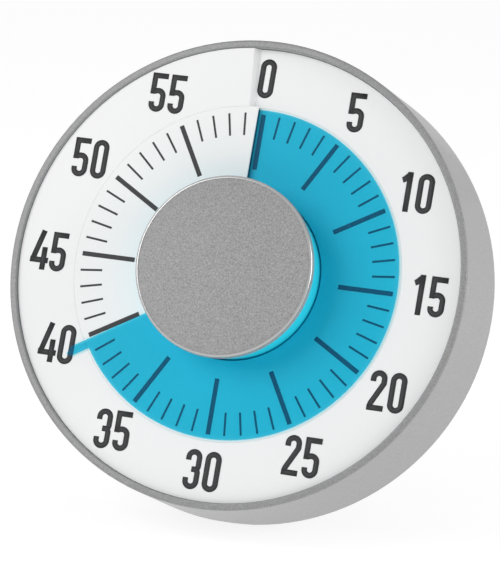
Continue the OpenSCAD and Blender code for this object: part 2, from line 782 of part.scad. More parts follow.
module hairspring() {
    color(spring_steel) stand_up() at_works(balance_at) translate([0, 0, -hairspring_depth - 0.6])
        linear_extrude(0.6) polygon(spiral(pivot_r + 0.4, 5.2, 4, 0.18, 24));
}

module hairspring_stud() {
    color(steel) stand_up() at_works(balance_at) on_ring(6.0, 0)
        translate([0, 0, -hairspring_depth - 0.8])
        cylinder(r = 0.5, h = hairspring_depth + 0.8, $fn = small_fn);
}

module alarm_cam() {
    color(steel) stand_up() translate([0, 0, alarm_z - cam_t]) linear_extrude(cam_t) difference() {
        circle(r = cam_r, $fn = small_fn);
        circle(r = arbor_r + tight, $fn = small_fn);
        polygon([clock(cam_r - 1.6, 40), clock(cam_r + 1, 40), clock(cam_r + 1, 70)]);
    }
}

module hammer() {
    tail = clock(cam_r + 1.2, 58);
    color(steel) stand_up() translate([0, 0, alarm_z - cam_t]) difference() {
        union() {
            linear_extrude(cam_t) {
                translate(hammer_at) circle(r = 2.6, $fn = small_fn);
                polygon([hammer_at + [-1, 1.6], tail, hammer_at + [1, -1.6]]);
                polygon([hammer_at + [-1.6, 1], hammer_head_at + [-0.8, 0], hammer_head_at + [0.8, -0.6],
                    hammer_at + [1.6, -1]]);
            }
            translate([hammer_head_at[0], hammer_head_at[1], -3.4])
                cylinder(r = hammer_head_r, h = cam_t + 3.4, $fn = small_fn);
        }
        translate([hammer_at[0], hammer_at[1], -overcut])
            cylinder(r = hammer_pin_r + running, h = cam_t + 2 * overcut, $fn = small_fn);
    }
}

module hammer_post() {
    color(steel) stand_up() translate([hammer_at[0], hammer_at[1], alarm_z - cam_t - 0.5])
        cylinder(r = hammer_pin_r, h = rear_face + plate_t - alarm_z + cam_t + 0.5, $fn = small_fn);
}

module hammer_spring() {
    color(spring_steel) stand_up() translate([hammer_at[0], hammer_at[1], alarm_z - cam_t - 0.9])
        linear_extrude(0.6) polygon(spiral(1.6, 3.4, 2, 0.3, 24));
}

module bell() {
    color(steel) stand_up() translate([bell_at[0], bell_at[1], bell_top - bell_h]) rotate_extrude()
        polygon(concat(
            [[bell_post_r + seat, bell_h], [bell_r - 4, bell_h]],
            arc([bell_r - 4, bell_h - 4], 4, 90, 0),
            [[bell_r, 0], [bell_r - bell_t, 0]],
            arc([bell_r - 4, bell_h - 4], 4 - bell_t, 0, 90),
            [[bell_post_r + seat, bell_h - bell_t]]
        ));
}

module bell_post() {
    // A bracket from the rear plate's edge carries the bell's centre screw
    turn = atan2(bell_at[0], bell_at[1]);
    inner = plate_r - 8;
    bracket_t = 1.2;
    color(steel) stand_up() union() {
        rotate([0, 0, -turn]) translate([-3, inner, rear_face - bracket_t])
            cube([6, norm(bell_at) - inner, bracket_t]);
        translate([bell_at[0], bell_at[1], rear_face - bracket_t])
            cylinder(r = 3, h = bracket_t, $fn = small_fn);
        translate([bell_at[0], bell_at[1], bell_top - bell_t - 1])
            cylinder(r = bell_post_r, h = rear_face - bell_top + bell_t + 1, $fn = small_fn);
        translate([bell_at[0], bell_at[1], bell_top - bell_t - 1.2])
            cylinder(r = bell_post_r + 1.3, h = 1.1, $fn = small_fn);
    }
}

module stand_leg() {
    corner = 3;
    color(silver) difference() {
        stand_up() translate([0, hinge_up, hinge_w]) rotate([leg_open, 0, 0]) difference() {
            union() {
                translate([-leg_w / 2, -leg_len, -leg_t / 2]) cube([leg_w, leg_len - ear_r - 1, leg_t]);
                translate([-knuckle_w / 2, -leg_len, -leg_t / 2])
                    cube([knuckle_w, leg_len + heel, leg_t]);
                translate([-knuckle_w / 2, 0, 0]) rotate([0, 90, 0])
                    cylinder(r = leg_t / 2, h = knuckle_w, $fn = small_fn);
            }
            translate([-leg_w, 0, 0]) rotate([0, 90, 0])
                cylinder(r = pin_r + running, h = 2 * leg_w, $fn = small_fn);
            translate([-leg_w / 2 + 8, -leg_len + 12, -leg_t / 2 - overcut])
                cube([leg_w - 16, leg_len - 32, 1.2 + overcut]);
        }
        translate([-leg_w, foot_y - 4 * leg_t, -4 * leg_t]) cube([2 * leg_w, 8 * leg_t, 4 * leg_t + foot_t]);
    }
}

module stand_pin() {
    reach = knuckle_w + 2 * ear_w + 2 * clear;
    color(steel) stand_up() translate([-reach / 2, hinge_up, hinge_w]) rotate([0, 90, 0])
        cylinder(r = pin_r, h = reach, $fn = small_fn);
}

module stand_foot() {
    shift = foot_t / 2 * tan(leg_open - lean);
    color(black) translate([0, foot_y - shift, foot_t / 2]) cube([leg_w, foot_d, foot_t], center = true);
}

case_ring();
rear_cover();
cover_screws();
magnets();
number_ring();
tick_disc();
movement_carrier();
carrier_screws();
front_plate();
rear_plate();
pillars();
movement_screws();
plate_screws();
arbor_bushes();
film();
knob_cap();
knob_drum();
knob_screws();
main_arbor();
great_wheel();
ratchet_wheel();
click();
click_spring();
mainspring();
second_arbor();
second_wheel();
third_arbor();
third_wheel();
escape_arbor();
escape_wheel();
pallet_lever();
pallet_arbor();
balance_wheel();
balance_staff();
hairspring();
hairspring_stud();
alarm_cam();
hammer();
hammer_post();
hammer_spring();
bell();
bell_post();
stand_leg();
stand_pin();
stand_foot();
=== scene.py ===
"""The kitchen timer's looks: print, film, knob, case, leg and movement, and the studio round them.

Sizes are in metres. Pieces are modelled flat, in the dial's own axes (right, up the dial and out of
it), and the dial plane then puts them in the shared frame.
"""

import json
import logging
import math
from dataclasses import dataclass, field
from enum import Enum
from typing import Callable, Iterable, Sequence

import bpy
from mathutils import Matrix, Vector

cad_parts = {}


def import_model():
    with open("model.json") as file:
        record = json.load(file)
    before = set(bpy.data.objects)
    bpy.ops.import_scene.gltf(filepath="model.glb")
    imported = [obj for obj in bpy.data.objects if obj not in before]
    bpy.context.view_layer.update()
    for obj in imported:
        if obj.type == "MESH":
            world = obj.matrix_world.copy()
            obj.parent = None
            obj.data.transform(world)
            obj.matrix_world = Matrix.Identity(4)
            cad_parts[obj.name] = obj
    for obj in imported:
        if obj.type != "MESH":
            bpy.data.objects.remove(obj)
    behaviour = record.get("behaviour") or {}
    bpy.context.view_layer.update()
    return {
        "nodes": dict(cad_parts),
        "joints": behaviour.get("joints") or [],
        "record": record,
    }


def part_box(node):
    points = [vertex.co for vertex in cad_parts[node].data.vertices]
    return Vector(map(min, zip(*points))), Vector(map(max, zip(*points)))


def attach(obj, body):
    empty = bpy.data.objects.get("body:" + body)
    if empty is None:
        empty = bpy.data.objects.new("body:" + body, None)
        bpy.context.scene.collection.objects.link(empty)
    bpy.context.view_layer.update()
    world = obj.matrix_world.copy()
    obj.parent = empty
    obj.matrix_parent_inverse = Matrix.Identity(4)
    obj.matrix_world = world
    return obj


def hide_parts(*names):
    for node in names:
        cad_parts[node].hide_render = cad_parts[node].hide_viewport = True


MM = 0.001
LOG = logging.getLogger("kitchen_timer")
Colour = tuple[float, float, float]
Point = tuple[float, float]
Place = tuple[float, float, float]

MINUTE = 6.0  # degrees of the dial
ARC_STEP = 11.0  # degrees between the points of a figure's curve
WELD = 1e-6  # corners closer than this are one
NOISE_ROUGHNESS = 0.55
# The colour sockets of a Mix node, by number, because their names repeat.
MIX_FACTOR, MIX_LOW, MIX_HIGH, MIX_RESULT = 0, 6, 7, 2


# ---------------------------------------------------------------- shader maths


class Value:
    """A number on a shader socket; its operators add Math nodes."""

    def __init__(self, graph: "Graph", socket: bpy.types.NodeSocket) -> None:
        """Wraps a socket of a node tree."""
        self.graph = graph
        self.socket = socket

    def _maths(self, operation: str, *terms: "Value | float") -> "Value":
        """Adds one Math node.

        Args:
            operation: the node's operation.
            terms: its inputs, in order.

        Returns:
            The node's result.
        """
        return self.graph.make("ShaderNodeMath", {"operation": operation}, dict(enumerate(terms)))

    def __add__(self, other: "Value | float") -> "Value":
        """Sum."""
        return self._maths("ADD", self, other)

    def __mul__(self, other: "Value | float") -> "Value":
        """Product."""
        return self._maths("MULTIPLY", self, other)

    def __sub__(self, other: "Value | float") -> "Value":
        """Difference."""
        return self._maths("SUBTRACT", self, other)

    def __rsub__(self, other: "Value | float") -> "Value":
        """Difference with the number first."""
        return self._maths("SUBTRACT", other, self)

    def greatest(self, other: "Value | float") -> "Value":
        """The greater of the two."""
        return self._maths("MAXIMUM", self, other)

    __radd__ = __add__
    __rmul__ = __mul__


class Graph:
    """A node tree under construction."""

    def __init__(self, tree: bpy.types.NodeTree) -> None:
        """Wraps a node tree."""
        self.tree = tree

    def add(self, kind: str, settings: dict[str, object], inputs: dict) -> bpy.types.Node:
        """Adds a node: its settings first, then its sockets.

        Args:
            kind: the node's type.
            settings: attributes such as an operation or a blend type.
            inputs: sockets by name or number, each a number, a colour or a Value.

        Returns:
            The node.
        """
        node = self.tree.nodes.new(kind)
        for key, setting in settings.items():
            setattr(node, key, setting)
        for key, given in inputs.items():
            if isinstance(given, Value):
                self.tree.links.new(given.socket, node.inputs[key])
            else:
                node.inputs[key].default_value = given
        return node

    def make(self, kind: str, settings: dict[str, object], inputs: dict, output: int | str = 0) -> Value:
        """Adds a node, as add does, and returns one of its outputs."""
        return Value(self, self.add(kind, settings, inputs).outputs[output])


class Shader(Graph):
    """One material under construction, with a Principled surface."""

    def __init__(self, name: str, **constants: float | Sequence[float]) -> None:
        """Makes the material and sets the constants of its surface.

        Args:
            name: the material's name.
            constants: socket names, with underscores for spaces, and their values.
        """
        self.material = bpy.data.materials.new(name)
        self.material.use_nodes = True
        super().__init__(self.material.node_tree)
        self.surface = self.tree.nodes["Principled BSDF"]
        for socket, value in constants.items():
            self.surface.inputs[socket.replace("_", " ").title()].default_value = value

    def place(self, stretch: Place = (1.0, 1.0, 1.0)) -> Value:
        """The object's own coordinates, stretched."""
        where = self.make("ShaderNodeTexCoord", {}, {}, "Object")
        return self.make("ShaderNodeMapping", {}, {"Vector": where, "Scale": stretch})

    def noise(self, where: Value, scale: float, detail: float = 2.0) -> Value:
        """Noise from 0 to 1, with features of 1 / scale metres."""
        inputs = {"Vector": where, "Scale": scale, "Detail": detail, "Roughness": NOISE_ROUGHNESS}
        return self.make("ShaderNodeTexNoise", {}, inputs, "Fac")

    def mix(self, fac: Value, low: Colour, high: Colour) -> Value:
        """A colour between two, by a factor.

        Args:
            fac: 0 for the first colour, 1 for the second.
            low: the first colour.
            high: the second.

        Returns:
            The colour.
        """
        inputs = {MIX_FACTOR: fac, MIX_LOW: (*low, 1.0), MIX_HIGH: (*high, 1.0)}
        settings = {"data_type": "RGBA", "clamp_factor": True}
        return self.make("ShaderNodeMix", settings, inputs, MIX_RESULT)

    def feed(self, socket: str, value: Value) -> None:
        """Links a value to a socket of the surface."""
        self.tree.links.new(value.socket, self.surface.inputs[socket])

    def bump(self, height: Value, depth: float) -> None:
        """Raises the surface by a height map, depth metres from 0 to 1."""
        relief = self.make("ShaderNodeBump", {}, {"Strength": 1.0, "Distance": depth, "Height": height})
        self.feed("Normal", relief)

    def show(self, value: Value) -> None:
        """Shows another shader in place of the plain surface."""
        self.tree.links.new(value.socket, self.tree.nodes["Material Output"].inputs["Surface"])


def tinted(colour: Colour, gain: float) -> Colour:
    """A colour made lighter or darker by a gain."""
    return tuple(min(1.0, part * gain) for part in colour)


# -------------------------------------------------------------------- finishes


class Axis(Enum):
    """The way that brushing runs on a piece."""

    ACROSS = (40.0, 2400.0, 2400.0)
    ALL = (2400.0, 2400.0, 2400.0)


@dataclass(frozen=True)
class Grained:
    """Lacquer, moulded plastic or rubber with a fine grain."""

    name: str
    colour: Colour
    roughness: float
    metallic: float = 0.0
    grain_size: float = 0.35 * MM
    contrast: float = 0.05
    depth: float = 0.01 * MM
    drift: float = 0.02
    drift_scale: float = 18.0
    gain: float = 2.4
    swing: float = 0.12
    coat: float = 0.0

    def build(self) -> bpy.types.Material:
        """Makes the material: grain in colour and relief, and a slow drift of tone.

        Returns:
            The material.
        """
        shader = Shader(self.name, roughness=self.roughness, metallic=self.metallic, coat_weight=self.coat)
        where = shader.place()
        grain = shader.noise(where, 1.0 / self.grain_size)
        slow = shader.noise(where, self.drift_scale)
        tone = grain * (1.0 - self.drift) + slow * self.drift
        spread = self.gain * self.contrast
        colour = shader.mix(tone, tinted(self.colour, 1.0 - spread), tinted(self.colour, 1.0 + spread))
        shader.feed("Base Color", colour)
        shader.feed("Roughness", grain * self.swing + (self.roughness - self.swing / 2.0))
        shader.bump(grain, self.depth)
        return shader.material


@dataclass(frozen=True)
class Brushed:
    """Sheet or turned metal with brushing and a little tarnish."""

    name: str
    colour: Colour
    roughness: float
    axis: Axis = Axis.ACROSS
    tarnish: Colour = (0.25, 0.2, 0.15)
    spot_scale: float = 220.0
    spot_level: float = 0.52
    spot_gain: float = 3.0
    spot_share: float = 0.25
    swing: float = 0.2
    depth: float = 0.004 * MM

    def build(self) -> bpy.types.Material:
        """Makes the material: streaks in roughness and relief, spots of tarnish in colour.

        Returns:
            The material.
        """
        shader = Shader(self.name, roughness=self.roughness, metallic=1.0)
        streak = shader.noise(shader.place(self.axis.value), 1.0, 3.0)
        spots = shader.noise(shader.place(), self.spot_scale, 4.0)
        worn = (spots - self.spot_level) * self.spot_gain
        shader.feed("Base Color", shader.mix(worn * self.spot_share, self.colour, self.tarnish))
        shader.feed("Roughness", streak * self.swing + (self.roughness - self.swing / 2.0))
        shader.bump(streak, self.depth)
        return shader.material


@dataclass(frozen=True)
class Filtering:
    """Tinted film: part of the light is filtered through it, part comes back from its surface."""

    name: str
    body: Colour
    filter: Colour
    body_share: float
    roughness: float
    wave_scale: float = 60.0
    grain_scale: float = 2500.0
    wave_share: float = 0.6
    spread: float = 0.06
    depth: float = 0.02 * MM

    def build(self) -> bpy.types.Material:
        """Makes the material, with a faint waviness in the film's sheen.

        Returns:
            The material.
        """
        shader = Shader(self.name, roughness=self.roughness)
        wave = shader.noise(shader.place(), self.wave_scale)
        grain = shader.noise(shader.place(), self.grain_scale)
        low, high = tinted(self.body, 1.0 - self.spread), tinted(self.body, 1.0 + self.spread)
        tone = wave * self.wave_share + grain * (1.0 - self.wave_share)
        shader.feed("Base Color", shader.mix(tone, low, high))
        shader.bump(wave, self.depth)
        clear = shader.make("ShaderNodeBsdfTransparent", {}, {"Color": (*self.filter, 1.0)})
        surface = Value(shader, shader.surface.outputs["BSDF"])
        shader.show(shader.make("ShaderNodeMixShader", {}, {0: self.body_share, 1: clear, 2: surface}))
        return shader.material


Finish = Grained | Brushed | Filtering

CASE_SILVER = Grained(
    "case_silver", (0.27, 0.27, 0.27), 0.42, contrast=0.2, grain_size=0.55 * MM, depth=0.015 * MM, coat=0.25
)
KNOB_SILVER = Grained(
    "knob_silver", (0.33, 0.33, 0.33), 0.62, contrast=0.3, grain_size=0.5 * MM, depth=0.02 * MM
)
# Polished bevel: its colour, lighter than the face's, is a painted highlight, a bright ring all round the
# knob's edge.
KNOB_EDGE_POLISH_AND_HIGHLIGHT = Grained(
    "knob_edge_polish_and_highlight", (0.46, 0.46, 0.46), 0.2, metallic=0.6, contrast=0.02, depth=0.001 * MM
)
DIAL_WHITE = Grained("dial_white", (0.90, 0.90, 0.90), 0.5, contrast=0.006, depth=0.002 * MM)
INNER_WHITE = Grained("inner_white", (0.8, 0.8, 0.77), 0.55, contrast=0.02)
INK = Grained("dial_ink", (0.022, 0.022, 0.024), 0.6, contrast=0.12, grain_size=0.2 * MM, depth=0.003 * MM)
FILM = Filtering("film_blue", (0.0, 0.22, 0.52), (0.41, 0.943, 0.99), 0.15, 0.32)
# Painted light: the drum's blue is lifted above its own colour to make up for the shade under the cap.
DRUM_PAINTED_LIGHT = Grained("drum_blue", (0.04, 0.80, 0.96), 0.3, contrast=0.02, depth=0.002 * MM)
STEEL = Brushed("turned_steel", (0.58, 0.58, 0.6), 0.32)
SPRING = Brushed("blued_steel", (0.10, 0.14, 0.26), 0.3, tarnish=(0.2, 0.1, 0.16))
BRASS = Brushed("stamped_brass", (0.72, 0.50, 0.20), 0.34, tarnish=(0.35, 0.2, 0.08))
NICKEL = Brushed("nickel_plate", (0.74, 0.72, 0.68), 0.14, axis=Axis.ALL)
FERRITE = Grained("ferrite", (0.035, 0.035, 0.038), 0.6, contrast=0.2, depth=0.03 * MM)
RUBBER = Grained("soft_rubber", (0.03, 0.03, 0.03), 0.75, contrast=0.15, depth=0.03 * MM)

NODE_FINISHES: dict[str, Finish] = {
    "case_silver": CASE_SILVER,
    "knob_silver": KNOB_SILVER,
    "dial_white": DIAL_WHITE,
    "inner_white": INNER_WHITE,
    "film_blue": FILM,
    "drum_blue": DRUM_PAINTED_LIGHT,
    "steel": STEEL,
    "spring_steel": SPRING,
    "brass": BRASS,
    "bell_nickel": NICKEL,
    "magnet_black": FERRITE,
    "foot_rubber": RUBBER,
}


class Paintshop:
    """Builds each finish once and hands it out."""

    def __init__(self) -> None:
        """Starts with nothing built."""
        self.made: dict[str, bpy.types.Material] = {}

    def pot(self, finish: Finish) -> bpy.types.Material:
        """The material of a finish, built when it is first asked for.

        Args:
            finish: the finish wanted.

        Returns:
            Its material.
        """
        if finish.name not in self.made:
            self.made[finish.name] = finish.build()
        return self.made[finish.name]

    def coat(self, piece: bpy.types.Object, finish: Finish) -> None:
        """Gives a piece one finish all over."""
        piece.data.materials.clear()
        piece.data.materials.append(self.pot(finish))

    def coat_part(
        self, piece: bpy.types.Object, finish: Finish, wanted: Callable[[bpy.types.MeshPolygon], bool]
    ) -> None:
        """Gives some faces of a piece a second finish.

        Args:
            piece: the object, already coated once.
            finish: the second finish.
            wanted: says of each face whether it gets that finish.
        """
        piece.data.materials.append(self.pot(finish))
        last = len(piece.data.materials) - 1
        for face in piece.data.polygons:
            if wanted(face):
                face.material_index = last


# --------------------------------------------------------------- modelling help


def deselect() -> None:
    """Leaves edit mode and selects nothing."""
    if bpy.context.object and bpy.context.object.mode != "OBJECT":
        bpy.ops.object.mode_set(mode="OBJECT")
    bpy.ops.object.select_all(action="DESELECT")


def activate(piece: bpy.types.Object) -> None:
    """Makes a piece the only selected object.

    Args:
        piece: the object to select.
    """
    deselect()
    piece.select_set(True)
    bpy.context.view_layer.objects.active = piece


def named(name: str) -> bpy.types.Object:
    """Names the active object and its mesh.

    Args:
        name: the new name.

    Returns:
        The object.
    """
    piece = bpy.context.object
    piece.name = name
    piece.data.name = name
    return piece


def select_faces(piece: bpy.types.Object, wanted: Callable[[bpy.types.MeshPolygon], bool]) -> None:
    """Goes to edit mode with just the wanted faces selected.

    Args:
        piece: the object to edit.
        wanted: says of each face whether it is selected.
    """
    activate(piece)
    bpy.ops.object.mode_set(mode="EDIT")
    bpy.ops.mesh.select_mode(type="FACE")
    bpy.ops.mesh.select_all(action="DESELECT")
    bpy.ops.object.mode_set(mode="OBJECT")
    for face in piece.data.polygons:
        face.select = wanted(face)
    bpy.ops.object.mode_set(mode="EDIT")


def lathe(name: str, outline: Sequence[Point], steps: int = 160) -> bpy.types.Object:
    """Spins a closed outline of (radius, height) points about the dial's axis.

    Args:
        name: the new piece's name.
        outline: the points in order, the first and last on the axis or joined by the spin.
        steps: how many steps one turn has.

    Returns:
        The piece, with its normals outwards.
    """
    deselect()
    bpy.ops.mesh.primitive_circle_add(vertices=len(outline), radius=1.0)
    piece = named(name)
    for vertex, (radius, height) in zip(piece.data.vertices, outline):
        vertex.co = (radius, 0.0, height)
    bpy.ops.object.mode_set(mode="EDIT")
    bpy.ops.mesh.select_all(action="SELECT")
    bpy.ops.mesh.spin(steps=steps, angle=2.0 * math.pi, center=(0, 0, 0), axis=(0, 0, 1))
    bpy.ops.mesh.select_all(action="SELECT")
    bpy.ops.mesh.remove_doubles(threshold=WELD)
    bpy.ops.mesh.dissolve_degenerate(threshold=WELD / 10.0)
    bpy.ops.mesh.normals_make_consistent(inside=False)
    bpy.ops.object.mode_set(mode="OBJECT")
    bpy.ops.object.shade_smooth_by_angle(angle=math.radians(32))
    return piece


def arc(cx: float, cy: float, radius: float, start: float, end: float) -> list[Point]:
    """Points on an arc.

    Args:
        cx: the centre's first coordinate.
        cy: its second.
        radius: the arc's radius.
        start: its first angle, in degrees.
        end: its last angle, in degrees.

    Returns:
        The points, from start to end.
    """
    count = max(3, round(abs(end - start) / ARC_STEP))
    turns = [math.radians(start + (end - start) * i / count) for i in range(count + 1)]
    return [(cx + radius * math.cos(turn), cy + radius * math.sin(turn)) for turn in turns]


def join(pieces: Iterable[bpy.types.Object], name: str) -> bpy.types.Object:
    """Joins pieces into one object with a name.

    Args:
        pieces: the objects to join.
        name: the new object's name.

    Returns:
        The joined object.
    """
    made = list(pieces)
    activate(made[0])
    for piece in made:
        piece.select_set(True)
    bpy.ops.object.join()
    return named(name)


def soften(node: str, width: float, segments: int = 3) -> bpy.types.Object:
    """Copies a CAD node, merges its triangles and rounds its sharp edges.

    Args:
        node: the CAD node's name; the copy replaces it.
        width: the rounding.
        segments: faces across each rounding.

    Returns:
        The copy, named after the node.
    """
    mesh = bpy.data.objects[node].data.copy()
    piece = bpy.data.objects.new(f"{node}_shell", mesh)
    bpy.context.scene.collection.objects.link(piece)
    activate(piece)
    bpy.ops.mesh.customdata_custom_splitnormals_clear()
    bpy.ops.object.mode_set(mode="EDIT")
    bpy.ops.mesh.select_all(action="SELECT")
    bpy.ops.mesh.remove_doubles(threshold=WELD)
    bpy.ops.mesh.dissolve_limited(angle_limit=math.radians(1.0))
    bpy.ops.object.mode_set(mode="OBJECT")
    bevel = piece.modifiers.new("round", "BEVEL")
    bevel.width = width
    bevel.segments = segments
    bevel.limit_method = "ANGLE"
    bevel.angle_limit = math.radians(40)
    bevel.use_clamp_overlap = True
    bpy.ops.object.modifier_apply(modifier="round")
    bpy.ops.object.shade_smooth_by_angle(angle=math.radians(35))
    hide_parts(node)
    return piece


@dataclass(frozen=True)
class DialPlane:
    """Where the dial lies: the knob's axis and the dial's lowest level."""

    origin: Vector
    out: Vector
    rise: float = 2.4 * MM

    @classmethod
    def from_frame(cls, joints: list[dict]) -> "DialPlane":
        """Finds the dial from the knob's joint, whose axis points into the case."""
        knob = next(joint for joint in joints if joint["name"] == "knob_turn")
        return cls(Vector(knob["pos_m"]), -Vector(knob["axis"]).normalized())

    def matrix(self) -> Matrix:
        """Takes points from the dial's axes to the shared frame.

        Returns:
            The matrix that does so.
        """
        right = Vector((1.0, 0.0, 0.0))
        up = self.out.cross(right)
        turn = Matrix((right, up, self.out)).transposed()
        return Matrix.Translation(self.origin) @ turn.to_4x4()

    def level(self, angle: float) -> float:
        """Height of the dial at a clockwise angle in degrees from the zero mark."""
        return self.rise * angle / 360.0

    def top_of(self, node: str) -> float:
        """How far a CAD node reaches out of the dial."""
        corners = bpy.data.objects[node].data.vertices
        return max((corner.co - self.origin).dot(self.out) for corner in corners)

    def seat(self, piece: bpy.types.Object) -> None:
        """Moves a piece's mesh from the dial's axes to its place, the object staying at the origin."""
        piece.data.transform(self.matrix())
        piece.data.update()


# ----------------------------------------------------------------- sub-assemblies


@dataclass
class Numerals:
    """The dial's twelve numbers, in narrow upright figures of one stroke width."""

    plane: DialPlane
    paint: Paintshop
    height: float = 13.55 * MM
    width: float = 5.65 * MM
    stroke: float = 1.9 * MM
    gap: float = 1.2 * MM
    ring: float = 67.1 * MM
    ink_t: float = 0.08 * MM
    layer: float = 0.006 * MM
    extra: dict[str, float] = field(default_factory=lambda: {"4": 0.3 * MM, "1": -0.5 * MM})
    nudges: dict[int, Point] = field(default_factory=lambda: {
        0: (-1.0, 0.4), 5: (-1.4, 1.2), 10: (-1.1, 1.1), 15: (-0.1, 0.9), 20: (0.5, 1.1), 25: (-0.1, 0.4),
        30: (0.2, -0.1), 35: (0.2, 0.0), 40: (-0.4, 1.8), 45: (-0.1, -0.7), 50: (-0.1, -0.7), 55: (-1.0, 0.1),
    })

    def strokes(self, figure: str) -> list[list[Point]]:
        """The centre lines of a figure, in millimetres from its lower left corner.

        Args:
            figure: one of the digits on the dial.

        Returns:
            One list of points for each stroke; a closed stroke ends on its first point.
        """
        wide = (self.width - self.stroke) / MM
        tall = (self.height - self.stroke) / MM
        half = self.stroke / MM / 2.0
        r = wide / 2.0
        mid = tall / 2.0

        crown = arc(r, tall - r, r, 180, 0)
        bowl = arc(r, r, r, 0, -180)
        waist = 1.2
        figures = {
            "0": [crown + bowl + [crown[0]]],
            "1": [[(-0.1, tall - 2.0), (0.45, tall - 1.75), (2.0, tall - 0.2)],
                  [(2.35, tall + half), (2.35, -half)]],
            "2": [[(0, tall - 2.9), *crown, (wide, tall - 3.3), (0.25, 1.5), (0.0, 0.5)],
                  [(-half, 0), (wide + half, 0)]],
            "3": [[(0, tall - 2.9), *crown, *arc(wide - waist, mid + waist, waist, 0, -90), (1.5, mid)],
                  [(1.5, mid), *arc(wide - waist, mid - waist, waist, 90, 0), *bowl, (0, 2.9)]],
            "4": [[(2.75, tall + half), (0.05, 2.6)], [(-half, 2.35), (5.6, 2.35)],
                  [(3.87, 6.9), (3.87, -half)]],
            "5": [[(wide + half, tall), (0, tall), (0, 5.2)],
                  [(0.2, 6.15), *arc(r, 6.45 - r, r, 100, 0), *bowl, (0, 2.5)]],
        }
        return figures[figure]

    def stroke_solid(self, points: list[Point], lift: float) -> bpy.types.Object:
        """One stroke as a solid: a wall along its centre line, thickened to the stroke's width.

        Args:
            points: the centre line, in millimetres.
            lift: height of the stroke's foot, in metres.

        Returns:
            The stroke, in the dial's axes.
        """
        deselect()
        bpy.ops.curve.primitive_bezier_curve_add()
        line = bpy.context.object.data
        line.splines.clear()
        closed = points[0] == points[-1]
        kept = points[:-1] if closed else points
        spline = line.splines.new("POLY")
        spline.points.add(len(kept) - 1)
        for target, (x, y) in zip(spline.points, kept):
            target.co = (x * MM, y * MM, lift + self.ink_t / 2.0, 1.0)
        spline.use_cyclic_u = closed
        line.dimensions = "3D"
        line.extrude = self.ink_t / 2.0
        bpy.ops.object.convert(target="MESH")
        piece = bpy.context.object
        solid = piece.modifiers.new("width", "SOLIDIFY")
        solid.thickness = self.stroke
        solid.offset = 0.0
        solid.use_even_offset = True
        solid.use_rim = True
        bpy.ops.object.modifier_apply(modifier="width")
        return piece

    def build(self) -> bpy.types.Object:
        """Models each number at its mark and joins them into one print.

        Returns:
            The print, seated on the dial.
        """
        made = []
        for minutes, (right, up) in self.nudges.items():
            text = str(minutes)
            pitch = [self.width + self.extra.get(figure, 0.0) + self.gap for figure in text]
            total = sum(pitch) - self.gap
            angle = MINUTE * minutes
            cx = self.ring * math.sin(math.radians(angle)) + right * MM
            cy = self.ring * math.cos(math.radians(angle)) + up * MM
            x = cx - total / 2.0
            for figure, step in zip(text, pitch):
                for order, points in enumerate(self.strokes(figure)):
                    piece = self.stroke_solid(points, self.plane.level(angle) + self.layer * order)
                    corner = Vector((x + self.stroke / 2.0, cy - (self.height - self.stroke) / 2.0, 0.0))
                    piece.data.transform(Matrix.Translation(corner))
                    made.append(piece)
                x += step
        numbers = join(made, "dial_numbers")
        self.paint.coat(numbers, INK)
        self.plane.seat(numbers)
        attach(numbers, "case")
        return numbers


@dataclass
class Ticks:
    """The sixty minute ticks, printed on the disc that the film covers."""

    plane: DialPlane
    paint: Paintshop
    outer: float = 55.0 * MM
    minor_inner: float = 47.2 * MM
    major_inner: float = 36.0 * MM
    minor_width: float = 0.72 * MM
    major_width: float = 1.6 * MM
    ink_t: float = 0.06 * MM
    sink: float = 0.01 * MM

    def tick(self, inner: float, width: float) -> bpy.types.Object:
        """Models one tick at the zero mark, with eased corners.

        Args:
            inner: the radius of its inner end.
            width: its width.

        Returns:
            The tick, in the dial's axes.
        """
        deselect()
        bpy.ops.mesh.primitive_cube_add(size=1.0, scale=(width, self.outer - inner, self.ink_t))
        bpy.ops.object.transform_apply(location=False, rotation=False, scale=True)
        bpy.ops.object.mode_set(mode="EDIT")
        bpy.ops.mesh.select_all(action="SELECT")
        bpy.ops.transform.translate(value=(0, (self.outer + inner) / 2.0, self.ink_t / 2.0))
        bpy.ops.object.mode_set(mode="OBJECT")
        piece = bpy.context.object
        bevel = piece.modifiers.new("ease", "BEVEL")
        bevel.width = self.ink_t / 3.0
        bevel.segments = 1
        bpy.ops.object.modifier_apply(modifier="ease")
        return piece

    def build(self) -> bpy.types.Object:
        """Copies the two ticks round the dial, each at the disc's height there.

        Returns:
            All sixty ticks, joined and seated.
        """
        minor = self.tick(self.minor_inner, self.minor_width)
        major = self.tick(self.major_inner, self.major_width)
        made = []
        for minute in range(60):
            pattern = minor if minute % 5 else major
            piece = bpy.data.objects.new(f"tick_{minute}", pattern.data.copy())
            bpy.context.scene.collection.objects.link(piece)
            turn = Matrix.Rotation(math.radians(-MINUTE * minute), 4, "Z")
            lift = Matrix.Translation((0.0, 0.0, self.plane.level(MINUTE * minute) - self.sink))
            piece.data.transform(lift @ turn)
            made.append(piece)
        for pattern in (minor, major):
            bpy.data.objects.remove(pattern)
        ticks = join(made, "minute_ticks")
        self.paint.coat(ticks, INK)
        self.plane.seat(ticks)
        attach(ticks, "case")
        return ticks


